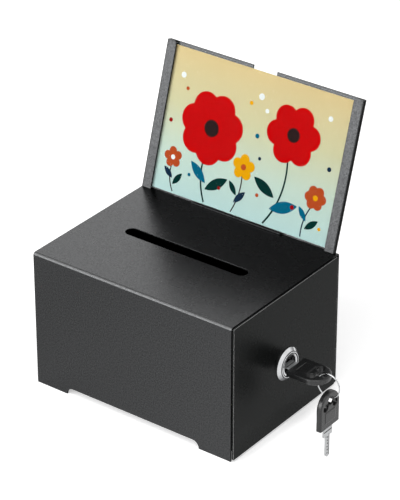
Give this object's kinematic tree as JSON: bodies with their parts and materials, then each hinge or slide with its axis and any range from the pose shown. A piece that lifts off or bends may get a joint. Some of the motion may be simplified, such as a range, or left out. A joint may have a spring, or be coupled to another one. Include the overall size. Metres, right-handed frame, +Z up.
{
  "type": "wedding card box",
  "caption": "Black sheet-steel card box with a slotted top, hinged end door, cam lock with keys on a ring, and a leaning sign holder with a clear cover and card.",
  "frame": {"origin": "the shell's front left corner on the floor plane, at the outer corner of the front left foot", "axes": "+X along the box to the door end, +Y from the front to the back, +Z up from the floor"},
  "size_m": [0.2013, 0.1466, 0.2083],
  "materials": {
    "black_steel": "fine-textured satin black powder coat",
    "zinc_steel": "bright zinc plate",
    "lock_chrome": "polished nickel chrome",
    "key_steel": "nickel-plated, lightly brushed",
    "key_plastic": "satin black moulded plastic",
    "clear_cover": "clear glossy acrylic sheet",
    "print_card": null
  },
  "bodies": {
    "box": {"shell": "black_steel", "left_side": "black_steel", "floor_pan": "black_steel", "hinge_fixed_leaf": "black_steel", "hinge_pin": "zinc_steel", "sign_frame": "black_steel", "sign_screws": "zinc_steel", "sign_nuts": "zinc_steel"},
    "door": {"door_panel": "black_steel", "hinge_door_leaf": "black_steel", "lock_housing": "lock_chrome", "lock_nut": "zinc_steel"},
    "plug": {"lock_plug": "lock_chrome", "lock_cam": "zinc_steel", "cam_screw": "zinc_steel"},
    "key_a": {"key_a_blade": "key_steel", "key_a_head": "key_plastic"},
    "ring": {"key_ring": "lock_chrome"},
    "key_b": {"key_b_blade": "key_steel", "key_b_head": "key_plastic"},
    "cover": {"cover_sheet": "clear_cover"},
    "card": {"print_card": "print_card"}
  },
  "joints": [
    {"name": "door_hinge", "type": "hinge", "parent": "box", "child": "door", "pos_m": [0.15725, 0.11465, 0.05], "axis": [0, 0, 1], "range_deg": [0, 90]},
    {"name": "plug_turn", "type": "hinge", "parent": "door", "child": "plug", "pos_m": [0.16, 0.0572, 0.0452], "axis": [1, 0, 0], "range_deg": [0, 90]},
    {"name": "key_a_slide", "type": "slide", "parent": "plug", "child": "key_a", "axis": [1, 0, 0], "range_m": [0, 0.03]},
    {"name": "ring_swing", "type": "hinge", "parent": "key_a", "child": "ring", "pos_m": [0.18498, 0.0572, 0.0452], "axis": [1, 0, 0], "range_deg": [-20, 20]},
    {"name": "key_b_swing", "type": "hinge", "parent": "ring", "child": "key_b", "pos_m": [0.1922, 0.0572, 0.0325], "axis": [1, 0, 0], "range_deg": [-75, 75]},
    {"name": "cover_slide", "type": "slide", "parent": "box", "child": "cover", "axis": [0, 0.294, 0.9558], "range_m": [0, 0.105]},
    {"name": "card_slide", "type": "slide", "parent": "box", "child": "card", "axis": [0, 0.294, 0.9558], "range_m": [0, 0.105]}
  ]
}
